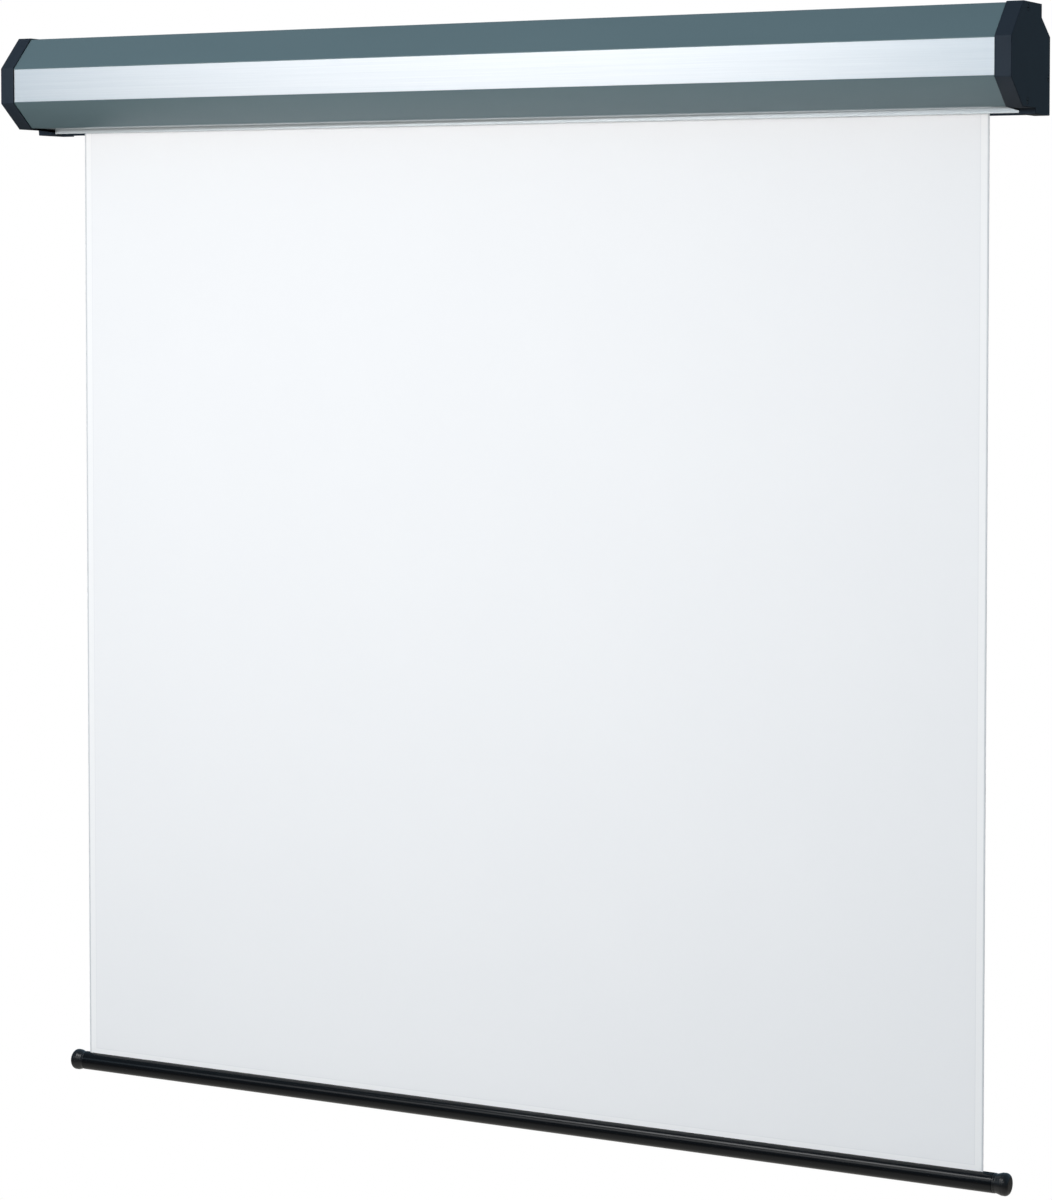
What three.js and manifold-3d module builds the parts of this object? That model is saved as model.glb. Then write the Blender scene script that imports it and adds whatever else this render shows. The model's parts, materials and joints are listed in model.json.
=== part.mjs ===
// Pull-down projector screen with a spring roller in an eight-sided wall casing.
// Millimetres. +X runs to the viewer's right, -Y faces the viewer and +Z is up. The wall is the
// plane Y = 0, and the origin lies on it at mid-length, level with the roller's axis.
import * as THREE from "three";
import { mergeVertices } from "three/addons/utils/BufferGeometryUtils.js";
import Module from "manifold-3d";

const wasm = await Module();
wasm.setup();

// Fits
const seatGap = 0.3;
const runningGap = 0.15;
const cutOverrun = 2;

// Screen sheet
const fabricWidth = 1250;
const fabricThickness = 0.4;
const fabricToWall = 34;
const barDrop = 1235;
const wrapTurns = 3;

// Casing section
const caseDepth = 133;
const upperChamferHeight = 40;
const frontFacetHeight = 44;
const lowerChamferHeight = 31;
const upperChamferDepth = 38;
const lowerChamferDepth = 38;
const rearStepDepth = 32;
const rearStepHeight = 13;
const rearWallTop = 34;
const caseWall = 2;
const sideMargin = 41;

// Hook rail along the casing's rear top edge, and the wall brackets that hold it
const hookLipClearance = 0.7;
const hookGrooveWidth = 7;
const bracketThickness = 2.5;
const bracketWidth = 60;
const bracketPlateTop = 4;
const bracketInset = 190;
const wallScrewHole = 2.75;
const wallScrewSpacing = 36;
const wallScrewBelowTop = 15;

// Front fascia plate, let into the casing's front facet
const fasciaThickness = 0.8;
const fasciaEdge = 0.8;

// Fabric slot: light cover in front of the sheet, dark lip behind it. The casing's own floor runs
// back from the front for a share of the way to the slot, and the cover goes on from there.
const returnShare = 0.48;
const coverThickness = 2;
const coverLap = 6;
const coverDrop = 6;
const slotFrontGap = 7.5;
const slotRearGap = 5;
const rearLipThickness = 2.5;
const rearLipSetback = 2.5;
const lipScrewCount = 4;
const lipScrewEndInset = 120;

// End caps
const capLap = 6;
const capWidth = 20;
const capProud = 1.5;
const capWall = 3;
const capFootDepth = 51;
const capFootDrop = 8;
const capFlangeDepth = 33;
const capFlangeRecess = 1.2;
const capSleeveWall = 1.2;

// Screws that hold the end caps, in bores along the casing
const portRadius = 4.4;
const portSink = 0.8;
const rearPortAboveFloor = 34;
const screwShank = 1.9;
const screwHead = 3.8;
const screwHeadHeight = 2;
const screwGrip = 14;

// Bearing plates inside the end caps
const plateThickness = 2.5;
const plateWidth = 46;
const plateHeight = 72;
const plateCorner = 8;
const plateFromCapFace = 5.7;
const plateBoss = 5;
const plateScrewEdge = 9;

// Roller
const rollerRadius = 25;
const rollerWall = 1.5;
const rollerOverhang = 15;
const plugSpigot = 24;
const plugFlange = 3.5;
const plugWeb = 3;

// Idle end: steel pin in a flanged bush
const idlePinRadius = 4;
const idlePinEnd = 3;
const bushRadius = 7;
const bushFlangeRadius = 10;
const bushFlange = 2;

// Spring end: fixed arbor, spring, collar and steady
const arborRadius = 5;
const arborTail = 18.7;
const spearThickness = 5;
const spearWidth = 10;
const spearLength = 13;
const hubRadius = 11;
const hubLength = 22;
const springWire = 2.6;
const springLength = 330;
const collarLength = 20;
const steadyLength = 12;
const steadyGap = 8;

// Ratchet on the arbor, and the two pawls on the ferrule
const ratchetRadius = 11;
const ratchetToothDepth = 3;
const ratchetTeeth = 6;
const rampShare = 0.8;
const ratchetThickness = 4;
const pawlThickness = 3;
const pawlReach = 12.6;
const pawlHub = 4;
const pawlTipClearance = 0.8;
const pawlLift = 0.5;
const pawlPinRadius = 2;
const pawlPinHead = 3;
const pawlPinHeadHeight = 1.2;
const pawlPinSeat = 5;

// Bottom bar
const barRadius = 11.75;
const barWall = 1.5;
const barSlot = 2.6;
const barOverhangLeft = 5;
const barOverhangRight = 13;
const splineRadius = 4;
const knobProud = 1.55;
const knobNeckCut = 0.55;
const knobCollarLength = 2;
const knobNeckLength = 2;
const knobFlareLength = 7;
const knobBulbLength = 3;
const knobRound = 6;
const knobSpigot = 16;

// Roundness
const facets = 32;
const smallFacets = 16;
const cornerSteps = 4;

// Places worked out from the sizes
const caseHeight = upperChamferHeight + frontFacetHeight + lowerChamferHeight;
const topRear = caseDepth - rearStepDepth;
const capEdge = fabricWidth / 2 + sideMargin;
const caseEnd = capEdge + capLap;
const capEnd = capEdge + capWidth;
const capFace = capEnd - capWall;
const wrapInner = rollerRadius + seatGap;
const wrapOuter = wrapInner + wrapTurns * fabricThickness;
const fabricY = -fabricToWall;
const rollerY = fabricY - fabricThickness / 2 - seatGap - wrapOuter;
const fabricDepth = caseDepth + fabricY;
const slotFront = fabricDepth - slotFrontGap;
const slotRear = fabricDepth + slotRearGap;
const returnEnd = lowerChamferDepth + returnShare * (slotFront - lowerChamferDepth);
const portsFromFront = returnEnd - coverLap - seatGap - portRadius;
const barZ = -caseHeight / 2 - barDrop;
const rollerEnd = fabricWidth / 2 + rollerOverhang;
const ferruleEnd = rollerEnd + seatGap + plugFlange;
const plateInner = capFace - plateFromCapFace - plateThickness;
const plateScrewOffset = plateHeight / 2 - plateScrewEdge;
const screwBore = screwShank + seatGap;
const knobRadius = barRadius + knobProud;

const finish = (color, roughness, metalness) =>
  new THREE.MeshStandardMaterial({ color, roughness, metalness });
const casingPaint = finish(0x5a6c71, 0.42, 0.35);
const brushedSilver = finish(0xd9e2e8, 0.3, 0.8);
const lightTrim = finish(0xc3cbd0, 0.5, 0.2);
const blackPlastic = finish(0x1d2124, 0.55, 0);
const zincSteel = finish(0xa9acae, 0.4, 0.9);
const springSteel = finish(0x55585c, 0.38, 0.9);
const rollerAluminium = finish(0xb4b8bb, 0.42, 0.85);
const paleNylon = finish(0xdcd8c8, 0.5, 0);
const screenWhite = finish(0xf4f6f8, 0.85, 0);
const barBlack = finish(0x17181a, 0.28, 0.1);

const at = (y, z) => new THREE.Vector2(y, z);

const heading = (from, to) => to.clone().sub(from).normalize();

// One corner of a line, moved to the line's left and mitred where the line turns.
function offsetCorner(line, i, distance, closed) {
  const count = line.length;
  const before = closed ? line[(i + count - 1) % count] : line[i - 1];
  const after = closed ? line[(i + 1) % count] : line[i + 1];
  const into = before ? heading(before, line[i]) : heading(line[i], after);
  const out = after ? heading(line[i], after) : into;
  const left = at(-into.y - out.y, into.x + out.x);
  return line[i].clone().addScaledVector(left, distance / (1 + into.dot(out)));
}

// Closed outline of a wall whose outer face follows an open line, with its thickness on the left.
const wallAlong = (line, wall) => [
  ...line,
  ...line.map((_, i) => offsetCorner(line, i, wall, false)).reverse(),
];

// An anticlockwise closed outline, made larger all round.
const grown = (outline, distance) =>
  outline.map((_, i) => offsetCorner(outline, i, -distance, true));

const circle = (radius, centre, count = facets) =>
  Array.from({ length: count }, (_, i) => {
    const angle = (2 * Math.PI * i) / count;
    return at(centre.x + radius * Math.cos(angle), centre.y + radius * Math.sin(angle));
  });

const rectangle = (low, high) => [
  low,
  at(high.x, low.y),
  high,
  at(low.x, high.y),
];

const acrossX = new THREE.Matrix4().makeBasis(
  new THREE.Vector3(0, 1, 0),
  new THREE.Vector3(0, 0, 1),
  new THREE.Vector3(1, 0, 0),
);

// A solid of even section, drawn in the Y-Z plane, between two stations along X.
function along(outline, from, to, holes = []) {
  const shape = new THREE.Shape(outline);
  shape.holes = holes.map((hole) => new THREE.Path(hole));
  const depth = Math.abs(to - from);
  return new THREE.ExtrudeGeometry(shape, { depth, bevelEnabled: false })
    .applyMatrix4(acrossX)
    .translate(Math.min(from, to), 0, 0);
}

// A solid turned about an axis along X, from pairs of station and radius.
function turned(profile, count = facets, centre = at(0, 0)) {
  const outline = profile.map(([station, radius]) => at(radius, station));
  if (THREE.ShapeUtils.area(outline) < 0) outline.reverse();
  const open = outline[0].x === 0 && outline.at(-1).x === 0;
  if (!open) outline.push(outline[0].clone());
  return new THREE.LatheGeometry(outline, count)
    .rotateZ(-Math.PI / 2)
    .translate(0, centre.x, centre.y);
}

// A sleeve about an axis along X.
const sleeve = (inner, outer, from, to, count = facets) =>
  turned([[from, inner], [to, inner], [to, outer], [from, outer]], count);

function solid(geometry) {
  const bare = geometry.clone();
  bare.deleteAttribute("normal");
  bare.deleteAttribute("uv");
  const merged = mergeVertices(bare, 1e-3);
  const vertProperties = merged.attributes.position.array;
  const triVerts = new Uint32Array(merged.index.array);
  return new wasm.Manifold(new wasm.Mesh({ numProp: 3, vertProperties, triVerts }));
}

function geometryOf(made) {
  const { vertProperties, triVerts } = made.getMesh();
  const geometry = new THREE.BufferGeometry();
  geometry.setAttribute("position", new THREE.BufferAttribute(vertProperties, 3));
  geometry.setIndex(new THREE.BufferAttribute(triVerts, 1));
  geometry.computeVertexNormals();
  return geometry;
}

const joined = (first, ...others) =>
  others.reduce((whole, other) => whole.add(solid(other)), first);
const cut = (first, ...others) =>
  others.reduce((whole, other) => whole.subtract(solid(other)), first);

function part(name, geometry, material, home) {
  const mesh = new THREE.Mesh(geometry, material);
  mesh.name = name;
  home.add(mesh);
  return mesh;
}

const sides = [["left", -1], ["right", 1]];

// Inside the casing's group, Y is the depth from the front facet and Z the height from the top.
const screen = new THREE.Group();
const casing = new THREE.Group();
casing.position.set(0, -caseDepth, caseHeight / 2);
const roller = new THREE.Group();
roller.position.set(0, rollerY, 0);
const bottomBar = new THREE.Group();
bottomBar.position.set(0, fabricY, barZ);
screen.add(casing, roller, bottomBar);

const facetTop = at(0, -upperChamferHeight);
const facetBottom = at(0, -upperChamferHeight - frontFacetHeight);
const topFront = at(upperChamferDepth, 0);
const bottomFront = at(lowerChamferDepth, -caseHeight);
const rollerAxis = at(caseDepth + rollerY, -caseHeight / 2);

// The hook rail's rear slope runs parallel to the end cap's, one bracket leg lower.
const rearSlope = (rearWallTop - rearStepHeight) / (caseDepth - topRear);
const slopeLength = Math.hypot(1, rearSlope);
const seatDrop = (bracketThickness + seatGap) * slopeLength;
const webDepth = topRear - caseWall - hookGrooveWidth;
const slopeAt = (depth, raised) =>
  at(depth, -rearWallTop - seatDrop + (caseDepth - depth) * rearSlope + raised * slopeLength);

// Bores along the casing that take the end caps' screws
const portInset = caseWall + portRadius - portSink;
const ports = [
  at(portsFromFront, -portInset),
  at(portsFromFront, -caseHeight + portInset),
  at(caseDepth - portInset, -caseHeight + rearPortAboveFloor),
];

// Stations of the screws that hold the rear lip
const lipScrewSpan = 2 * (capEdge - lipScrewEndInset);
const lipScrews = Array.from(
  { length: lipScrewCount },
  (_, i) => lipScrewSpan * (i / (lipScrewCount - 1) - 1 / 2),
);
const rearLipEnd = caseDepth - rearLipSetback;
const lipScrewY = (slotRear + rearLipThickness + rearLipEnd) / 2;

// A pan-head screw along X, with its head's seat at a station and its shank towards the origin.
const screwAlongX = (seat, grip, side, head = screwHead) => [
  [side * (seat - grip), 0],
  [side * (seat - grip), screwShank],
  [side * seat, screwShank],
  [side * seat, head],
  [side * (seat + screwHeadHeight), head],
  [side * (seat + screwHeadHeight), 0],
];

// An upright cylinder, for the lip's screws and their holes.
const upright = (radius, low, high, x, y) =>
  new THREE.CylinderGeometry(radius, radius, high - low, smallFacets)
    .rotateX(Math.PI / 2)
    .translate(x, y, (low + high) / 2);

function buildCasing() {
  const bracketTop = slopeAt(topRear - caseWall, bracketThickness + seatGap).y;
  const frontWall = [
    at(topRear, bracketTop + hookLipClearance),
    at(topRear, 0),
    topFront,
    facetTop,
    facetBottom,
    bottomFront,
    at(returnEnd, -caseHeight),
  ];
  const floorFront = slotRear + rearLipThickness / 2;
  const rearWall = [
    at(floorFront, -caseHeight),
    at(caseDepth, -caseHeight),
    slopeAt(caseDepth, 0),
    slopeAt(webDepth, 0),
    at(webDepth, -caseWall / 2),
  ];
  const pocketDepth = fasciaThickness + seatGap;
  const pocket = rectangle(
    at(-cutOverrun, facetBottom.y + fasciaEdge),
    at(pocketDepth, facetTop.y - fasciaEdge),
  );
  const whole = [-caseEnd, caseEnd];
  const through = [-caseEnd - cutOverrun, caseEnd + cutOverrun];
  const shell = joined(
    solid(along(wallAlong(frontWall, caseWall), ...whole)),
    along(wallAlong(rearWall, caseWall), ...whole),
    ...ports.map((port) => along(circle(portRadius, port, smallFacets), ...whole)),
  );
  const opened = cut(
    shell,
    along(pocket, ...through),
    ...ports.map((port) => along(circle(screwBore, port, smallFacets), ...through)),
    ...lipScrews.map((x) =>
      upright(screwBore, -caseHeight - cutOverrun, -caseHeight + caseWall + cutOverrun, x, lipScrewY),
    ),
  );
  part("casing_shell", geometryOf(opened), casingPaint, casing);

  const fascia = rectangle(
    at(0, facetBottom.y + fasciaEdge + seatGap),
    at(fasciaThickness, facetTop.y - fasciaEdge - seatGap),
  );
  part("front_fascia", along(fascia, -capEdge + seatGap, capEdge - seatGap), brushedSilver, casing);
}

// The light cover closes the casing's underside in front of the sheet and ends in a drip edge. The
// dark lip behind the sheet comes down level with the end caps' feet.
function buildSlot() {
  const end = capEdge - seatGap;
  const coverFront = returnEnd + seatGap;
  const lapBottom = -caseHeight + caseWall + seatGap;
  const coverTop = -caseHeight + coverThickness;
  const outline = [
    at(coverFront, -caseHeight),
    at(slotFront - coverThickness, -caseHeight),
    at(slotFront - coverThickness, -caseHeight - coverDrop),
    at(slotFront, -caseHeight - coverDrop),
    at(slotFront, coverTop),
    at(coverFront + coverThickness, coverTop),
    at(coverFront + coverThickness, lapBottom + coverThickness),
    at(coverFront - coverLap, lapBottom + coverThickness),
    at(coverFront - coverLap, lapBottom),
    at(coverFront, lapBottom),
  ];
  part("bottom_cover", along(outline, -end, end), lightTrim, casing);

  const lipTop = -caseHeight - seatGap;
  const lip = [
    at(slotRear, -caseHeight - capFootDrop),
    at(slotRear + rearLipThickness, -caseHeight - capFootDrop),
    at(slotRear + rearLipThickness, lipTop - rearLipThickness),
    at(rearLipEnd, lipTop - rearLipThickness),
    at(rearLipEnd, lipTop),
    at(slotRear, lipTop),
  ];
  const holes = lipScrews.map((x) =>
    upright(screwBore, lipTop - rearLipThickness - cutOverrun, lipTop + cutOverrun, x, lipScrewY),
  );
  const drilled = cut(solid(along(lip, -end, end)), ...holes);
  part("rear_slot_lip", geometryOf(drilled), blackPlastic, casing);

  const seat = lipTop - rearLipThickness - seatGap;
  const screwTop = -caseHeight + caseWall + seatGap;
  lipScrews.forEach((x, i) => {
    const made = joined(
      solid(upright(screwShank, seat - screwHeadHeight / 2, screwTop, x, lipScrewY)),
      upright(screwHead, seat - screwHeadHeight, seat, x, lipScrewY),
    );
    part(`lip_screw_${i + 1}`, geometryOf(made), zincSteel, casing);
  });
}

// The eight-sided section with its rear step, whose floor may drop lower behind a given depth.
const section = (rear, floorLine) => [
  facetBottom,
  bottomFront,
  ...floorLine,
  at(rear, -rearWallTop),
  at(topRear, -rearStepHeight),
  at(topRear, 0),
  topFront,
  facetTop,
];

// Each end cap laps over the casing's end, and its rear foot stands lower than the casing.
function buildEndCap(name, side) {
  const rear = caseDepth - capProud;
  const footFront = caseDepth - capFootDepth;
  const footBottom = -caseHeight - capFootDrop + capProud;
  const footed = section(rear, [
    at(footFront, -caseHeight),
    at(footFront, footBottom),
    at(rear, footBottom),
  ]);
  const outline = grown(footed, capProud);
  const hollow = grown(section(rear, [at(rear, -caseHeight)]), capProud - capWall);
  const pocket = grown(section(caseDepth, [at(caseDepth, -caseHeight)]), seatGap);
  const flange = rectangle(
    at(caseDepth - capFlangeDepth, -caseHeight - capFootDrop - cutOverrun),
    at(caseDepth + cutOverrun, cutOverrun),
  );
  const plateOuter = capFace - plateFromCapFace + seatGap;
  const bosses = plateScrews.map((place) => circle(plateBoss, place, smallFacets));
  const sleeveRadius = screwHead + seatGap + capSleeveWall;
  const sleeves = ports.map((port) => circle(sleeveRadius, port, smallFacets));
  const hollowed = cut(
    solid(along(outline, side * capEdge, side * capEnd)),
    along(hollow, side * (capEdge - cutOverrun), side * capFace),
    along(pocket, side * (capEdge - cutOverrun), side * (caseEnd + seatGap)),
    along(flange, side * (capEnd - capFlangeRecess), side * (capEnd + cutOverrun)),
  );
  const inside = capFace + capWall / 2;
  const furnished = joined(
    hollowed,
    ...bosses.map((boss) => along(boss, side * plateOuter, side * inside)),
    ...sleeves.map((ring) => along(ring, side * (caseEnd + seatGap), side * inside)),
  );
  const bossBores = plateScrews.map((place) => circle(screwBore, place, smallFacets));
  const capBores = ports.map((port) => circle(screwBore, port, smallFacets));
  const headBores = ports.map((port) => circle(screwHead + seatGap, port, smallFacets));
  const drilled = cut(
    furnished,
    ...bossBores.map((bore) => along(bore, side * (plateOuter - cutOverrun), side * capFace)),
    ...capBores.map((bore) => along(bore, side * capEdge, side * (capEnd + cutOverrun))),
    ...headBores.map((bore, i) => along(bore, side * headSeat(ports[i]), side * (capEnd + cutOverrun))),
  );
  part(`end_cap_${name}`, geometryOf(drilled), blackPlastic, casing);

  ports.forEach((port, i) => {
    const profile = screwAlongX(headSeat(port) + seatGap, screwGrip + capWidth, side);
    part(`cap_screw_${name}_${i + 1}`, turned(profile, smallFacets, port), zincSteel, casing);
  });
}

// Screws of the bearing plates, above and below the roller's axis
const plateScrews = [1, -1].map((way) => at(rollerAxis.x, rollerAxis.y + way * plateScrewOffset));

// The screw heads are sunk flush, and deeper where the cap's rear flange is set back.
function headSeat(port) {
  const setBack = port.x > caseDepth - capFlangeDepth ? capFlangeRecess : 0;
  return capEnd - setBack - screwHeadHeight - seatGap;
}

// A steel plate inside each cap carries one end of the roller.
function buildBearingPlate(name, side, opening) {
  const low = at(rollerAxis.x - plateWidth / 2, rollerAxis.y - plateHeight / 2);
  const high = at(rollerAxis.x + plateWidth / 2, rollerAxis.y + plateHeight / 2);
  const centres = [
    at(high.x - plateCorner, high.y - plateCorner),
    at(low.x + plateCorner, high.y - plateCorner),
    at(low.x + plateCorner, low.y + plateCorner),
    at(high.x - plateCorner, low.y + plateCorner),
  ];
  const outline = centres.flatMap((centre, quarter) =>
    Array.from({ length: cornerSteps + 1 }, (_, i) => {
      const angle = (Math.PI / 2) * (quarter + i / cornerSteps);
      return at(centre.x + plateCorner * Math.cos(angle), centre.y + plateCorner * Math.sin(angle));
    }),
  );
  const holes = plateScrews.map((place) => circle(screwBore, place, smallFacets));
  const plate = along(outline, side * plateInner, side * (plateInner + plateThickness), [
    opening,
    ...holes,
  ]);
  part(`bearing_plate_${name}`, plate, zincSteel, casing);

  plateScrews.forEach((place, i) => {
    const seat = plateInner - seatGap;
    const grip = capFace - seatGap - seat;
    const profile = screwAlongX(-seat, grip, -side);
    part(`plate_screw_${name}_${i + 1}`, turned(profile, smallFacets, place), zincSteel, casing);
  });
}

// The bracket's wall plate is screwed to the wall, and its lip stands up in the casing's groove.
function buildWallBracket(name, side) {
  const lipFront = webDepth + seatGap;
  const outline = wallAlong(
    [
      at(lipFront, -caseWall - seatGap),
      slopeAt(lipFront, seatGap),
      slopeAt(caseDepth, seatGap),
      at(caseDepth, -bracketPlateTop),
    ],
    bracketThickness,
  );
  const middle = side * (capEdge - bracketInset);
  const bracket = solid(along(outline, middle - bracketWidth / 2, middle + bracketWidth / 2));
  const holes = [-1, 1].map((way) =>
    new THREE.CylinderGeometry(wallScrewHole, wallScrewHole, bracketThickness + 2 * cutOverrun, smallFacets)
      .translate(
        middle + (way * wallScrewSpacing) / 2,
        caseDepth - bracketThickness / 2,
        -wallScrewBelowTop,
      ),
  );
  part(`wall_bracket_${name}`, geometryOf(cut(bracket, ...holes)), zincSteel, casing);
}

// The idle pin turns in a flanged bush in the right-hand plate.
function buildIdleEnd() {
  const outer = plateInner + plateThickness;
  const bore = idlePinRadius + runningGap;
  const profile = [
    [plateInner - seatGap - bushFlange, bore],
    [outer, bore],
    [outer, bushRadius],
    [plateInner - seatGap, bushRadius],
    [plateInner - seatGap, bushFlangeRadius],
    [plateInner - seatGap - bushFlange, bushFlangeRadius],
  ];
  part("idle_bush", turned(profile), paleNylon, roller);

  const pinStart = rollerEnd - plugSpigot + plugWeb + seatGap;
  const pin = [
    [pinStart, 0],
    [pinStart, idlePinRadius],
    [capFace - idlePinEnd, idlePinRadius],
    [capFace - idlePinEnd, 0],
  ];
  part("idle_pin", turned(pin), zincSteel, roller);

  const spigot = rollerRadius - rollerWall - seatGap;
  const socket = idlePinRadius + seatGap;
  const plug = [
    [rollerEnd - plugSpigot, 0],
    [rollerEnd - plugSpigot, spigot],
    [rollerEnd + seatGap, spigot],
    [rollerEnd + seatGap, rollerRadius],
    [ferruleEnd, rollerRadius],
    [ferruleEnd, socket],
    [rollerEnd - plugSpigot + plugWeb, socket],
    [rollerEnd - plugSpigot + plugWeb, 0],
  ];
  part("roller_plug", turned(plug), blackPlastic, roller);
}

// The arbor stands still. The ferrule turns on it and winds the spring against the collar.
function buildSpringEnd() {
  const bore = arborRadius + runningGap;
  const spigot = rollerRadius - rollerWall - seatGap;
  const hubEnd = rollerEnd - plugSpigot - hubLength;
  const ferrule = [
    [-hubEnd, bore],
    [-hubEnd, hubRadius],
    [-rollerEnd + plugSpigot, hubRadius],
    [-rollerEnd + plugSpigot, spigot],
    [-rollerEnd - seatGap, spigot],
    [-rollerEnd - seatGap, rollerRadius],
    [-ferruleEnd, rollerRadius],
    [-ferruleEnd, bore],
  ];
  const pinBores = pawlPivots.map((pivot) =>
    along(
      circle(pawlPinRadius + seatGap, pivot, smallFacets),
      -ferruleEnd - cutOverrun,
      -ferruleEnd + pawlPinSeat,
    ),
  );
  const drilled = cut(solid(turned(ferrule)), ...pinBores);
  part("roller_ferrule", geometryOf(drilled), zincSteel, roller);

  const springStart = -rollerEnd + plugSpigot + seatGap;
  const springEnd = springStart + springLength;
  const springInner = hubRadius + seatGap;
  const spring = sleeve(springInner, springInner + springWire, springStart, springEnd);
  part("torsion_spring", spring, springSteel, roller);
  const collar = sleeve(bore, hubRadius, springEnd - collarLength, springEnd);
  part("arbor_collar", collar, zincSteel, roller);
  const steadyStart = springEnd + steadyGap;
  const steady = sleeve(bore, spigot, steadyStart, steadyStart + steadyLength);
  part("arbor_steady", steady, paleNylon, roller);

  const spearStart = -capFace + idlePinEnd + spearLength;
  const arborEnd = steadyStart + steadyLength + arborTail;
  const rod = turned([
    [spearStart, 0],
    [spearStart, arborRadius],
    [arborEnd, arborRadius],
    [arborEnd, 0],
  ]);
  const spear = along(
    rectangle(at(-spearThickness / 2, -spearWidth / 2), at(spearThickness / 2, spearWidth / 2)),
    spearStart - spearLength,
    spearStart + spearLength / 2,
  );
  part("spring_arbor", geometryOf(joined(solid(rod), spear)), zincSteel, roller);
}

// At rest the pawls are lifted just clear of the ratchet. Each swings in about its own pin.
const pawlDrop = ratchetRadius + pawlLift + pawlThickness / 2;
const firstPivot = at(pawlReach + pawlTipClearance - pawlLift, pawlDrop);
const pawlPivots = [firstPivot, firstPivot.clone().negate()];

function buildRatchet() {
  const from = -ferruleEnd - seatGap;
  const to = from - ratchetThickness;
  const pitch = (2 * Math.PI) / ratchetTeeth;
  const polar = (radius, angle) => at(radius * Math.cos(angle), radius * Math.sin(angle));
  const root = ratchetRadius - ratchetToothDepth;
  const outline = Array.from({ length: ratchetTeeth }, (_, i) => {
    const wall = Math.PI / 2 - i * pitch;
    return [polar(ratchetRadius, wall), polar(root, wall), polar(ratchetRadius, wall - rampShare * pitch)];
  }).flat();
  const bore = circle(arborRadius + runningGap, at(0, 0));
  part("ratchet_wheel", along(outline.reverse(), from, to, [bore]), zincSteel, roller);

  pawlPivots.forEach((pivot, i) => {
    const half = pawlThickness / 2;
    const finger = [at(-pawlReach, half), at(-pawlReach, -half)];
    const start = Math.asin(half / pawlHub) - Math.PI;
    const sweep = 2 * Math.PI - 2 * Math.asin(half / pawlHub);
    const hub = Array.from({ length: smallFacets + 1 }, (_, step) => {
      const angle = start + (sweep * step) / smallFacets;
      return at(pawlHub * Math.cos(angle), pawlHub * Math.sin(angle));
    });
    const eye = circle(pawlPinRadius + runningGap, at(0, 0), smallFacets);
    const pawl = part(
      `pawl_${i + 1}`,
      along([...finger, ...hub], from, to, [eye]),
      springSteel,
      roller,
    );
    pawl.position.set(0, pivot.x, pivot.y);
    pawl.rotation.x = i * Math.PI;

    const neck = to - seatGap;
    const pin = [
      [-ferruleEnd + pawlPinSeat - seatGap, 0],
      [-ferruleEnd + pawlPinSeat - seatGap, pawlPinRadius],
      [neck, pawlPinRadius],
      [neck, pawlPinHead],
      [neck - pawlPinHeadHeight, pawlPinHead],
      [neck - pawlPinHeadHeight, 0],
    ];
    part(`pawl_pin_${i + 1}`, turned(pin, smallFacets, pivot), zincSteel, roller);
  });
}

function buildRoller() {
  const tube = sleeve(rollerRadius - rollerWall, rollerRadius, -rollerEnd, rollerEnd);
  part("roller_tube", tube, rollerAluminium, roller);
  const wrap = sleeve(wrapInner, wrapOuter, -fabricWidth / 2, fabricWidth / 2);
  part("fabric_wrap", wrap, screenWhite, roller);
}

// The sheet hangs from the rear of the roller and is held in the bar's slot by a round spline.
function buildScreen() {
  const half = fabricThickness / 2;
  const splineTop = barRadius - barWall - seatGap;
  const sheet = rectangle(at(-half, splineTop + seatGap), at(half, -barZ));
  part("screen_fabric", along(sheet, -fabricWidth / 2, fabricWidth / 2), screenWhite, bottomBar);

  const barEnds = {
    left: fabricWidth / 2 + barOverhangLeft,
    right: fabricWidth / 2 + barOverhangRight,
  };
  const splineLeft = knobSpigot + seatGap - barEnds.left;
  const splineRight = barEnds.right - knobSpigot - seatGap;
  const spline = turned(
    [
      [splineLeft, 0],
      [splineLeft, splineRadius],
      [splineRight, splineRadius],
      [splineRight, 0],
    ],
    smallFacets,
    at(0, splineTop - splineRadius),
  );
  part("bar_spline", spline, paleNylon, bottomBar);

  const arc = (radius, from, to) =>
    Array.from({ length: facets + 1 }, (_, i) => {
      const angle = from + ((to - from) * i) / facets;
      return at(radius * Math.cos(angle), radius * Math.sin(angle));
    });
  const inner = barRadius - barWall;
  const outerGap = Math.asin(barSlot / 2 / barRadius);
  const innerGap = Math.asin(barSlot / 2 / inner);
  const top = Math.PI / 2;
  const section = [
    ...arc(barRadius, top + outerGap, top - outerGap + 2 * Math.PI),
    ...arc(inner, top - innerGap + 2 * Math.PI, top + innerGap),
  ];
  part("bar_tube", along(section, -barEnds.left, barEnds.right), barBlack, bottomBar);

  for (const [name, side] of sides) {
    const barEnd = barEnds[name];
    const stations = {
      spigot: barEnd - knobSpigot,
      face: barEnd + seatGap,
      neck: barEnd + knobCollarLength,
      flare: barEnd + knobCollarLength + knobNeckLength,
      bulb: barEnd + knobCollarLength + knobNeckLength + knobFlareLength,
    };
    const round = stations.bulb + knobBulbLength;
    const dome = Array.from({ length: cornerSteps + 1 }, (_, i) => {
      const angle = (Math.PI / 2) * (i / cornerSteps);
      return [round + knobRound * Math.sin(angle), knobRadius - knobRound * (1 - Math.cos(angle))];
    });
    const profile = [
      [stations.spigot, 0],
      [stations.spigot, inner - seatGap],
      [stations.face, inner - seatGap],
      [stations.face, barRadius],
      [stations.neck, barRadius],
      [stations.flare, barRadius - knobNeckCut],
      [stations.bulb, knobRadius],
      ...dome,
      [round + knobRound, 0],
    ].map(([station, radius]) => [side * station, radius]);
    part(`bar_knob_${name}`, turned(profile), barBlack, bottomBar);
  }
}

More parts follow.
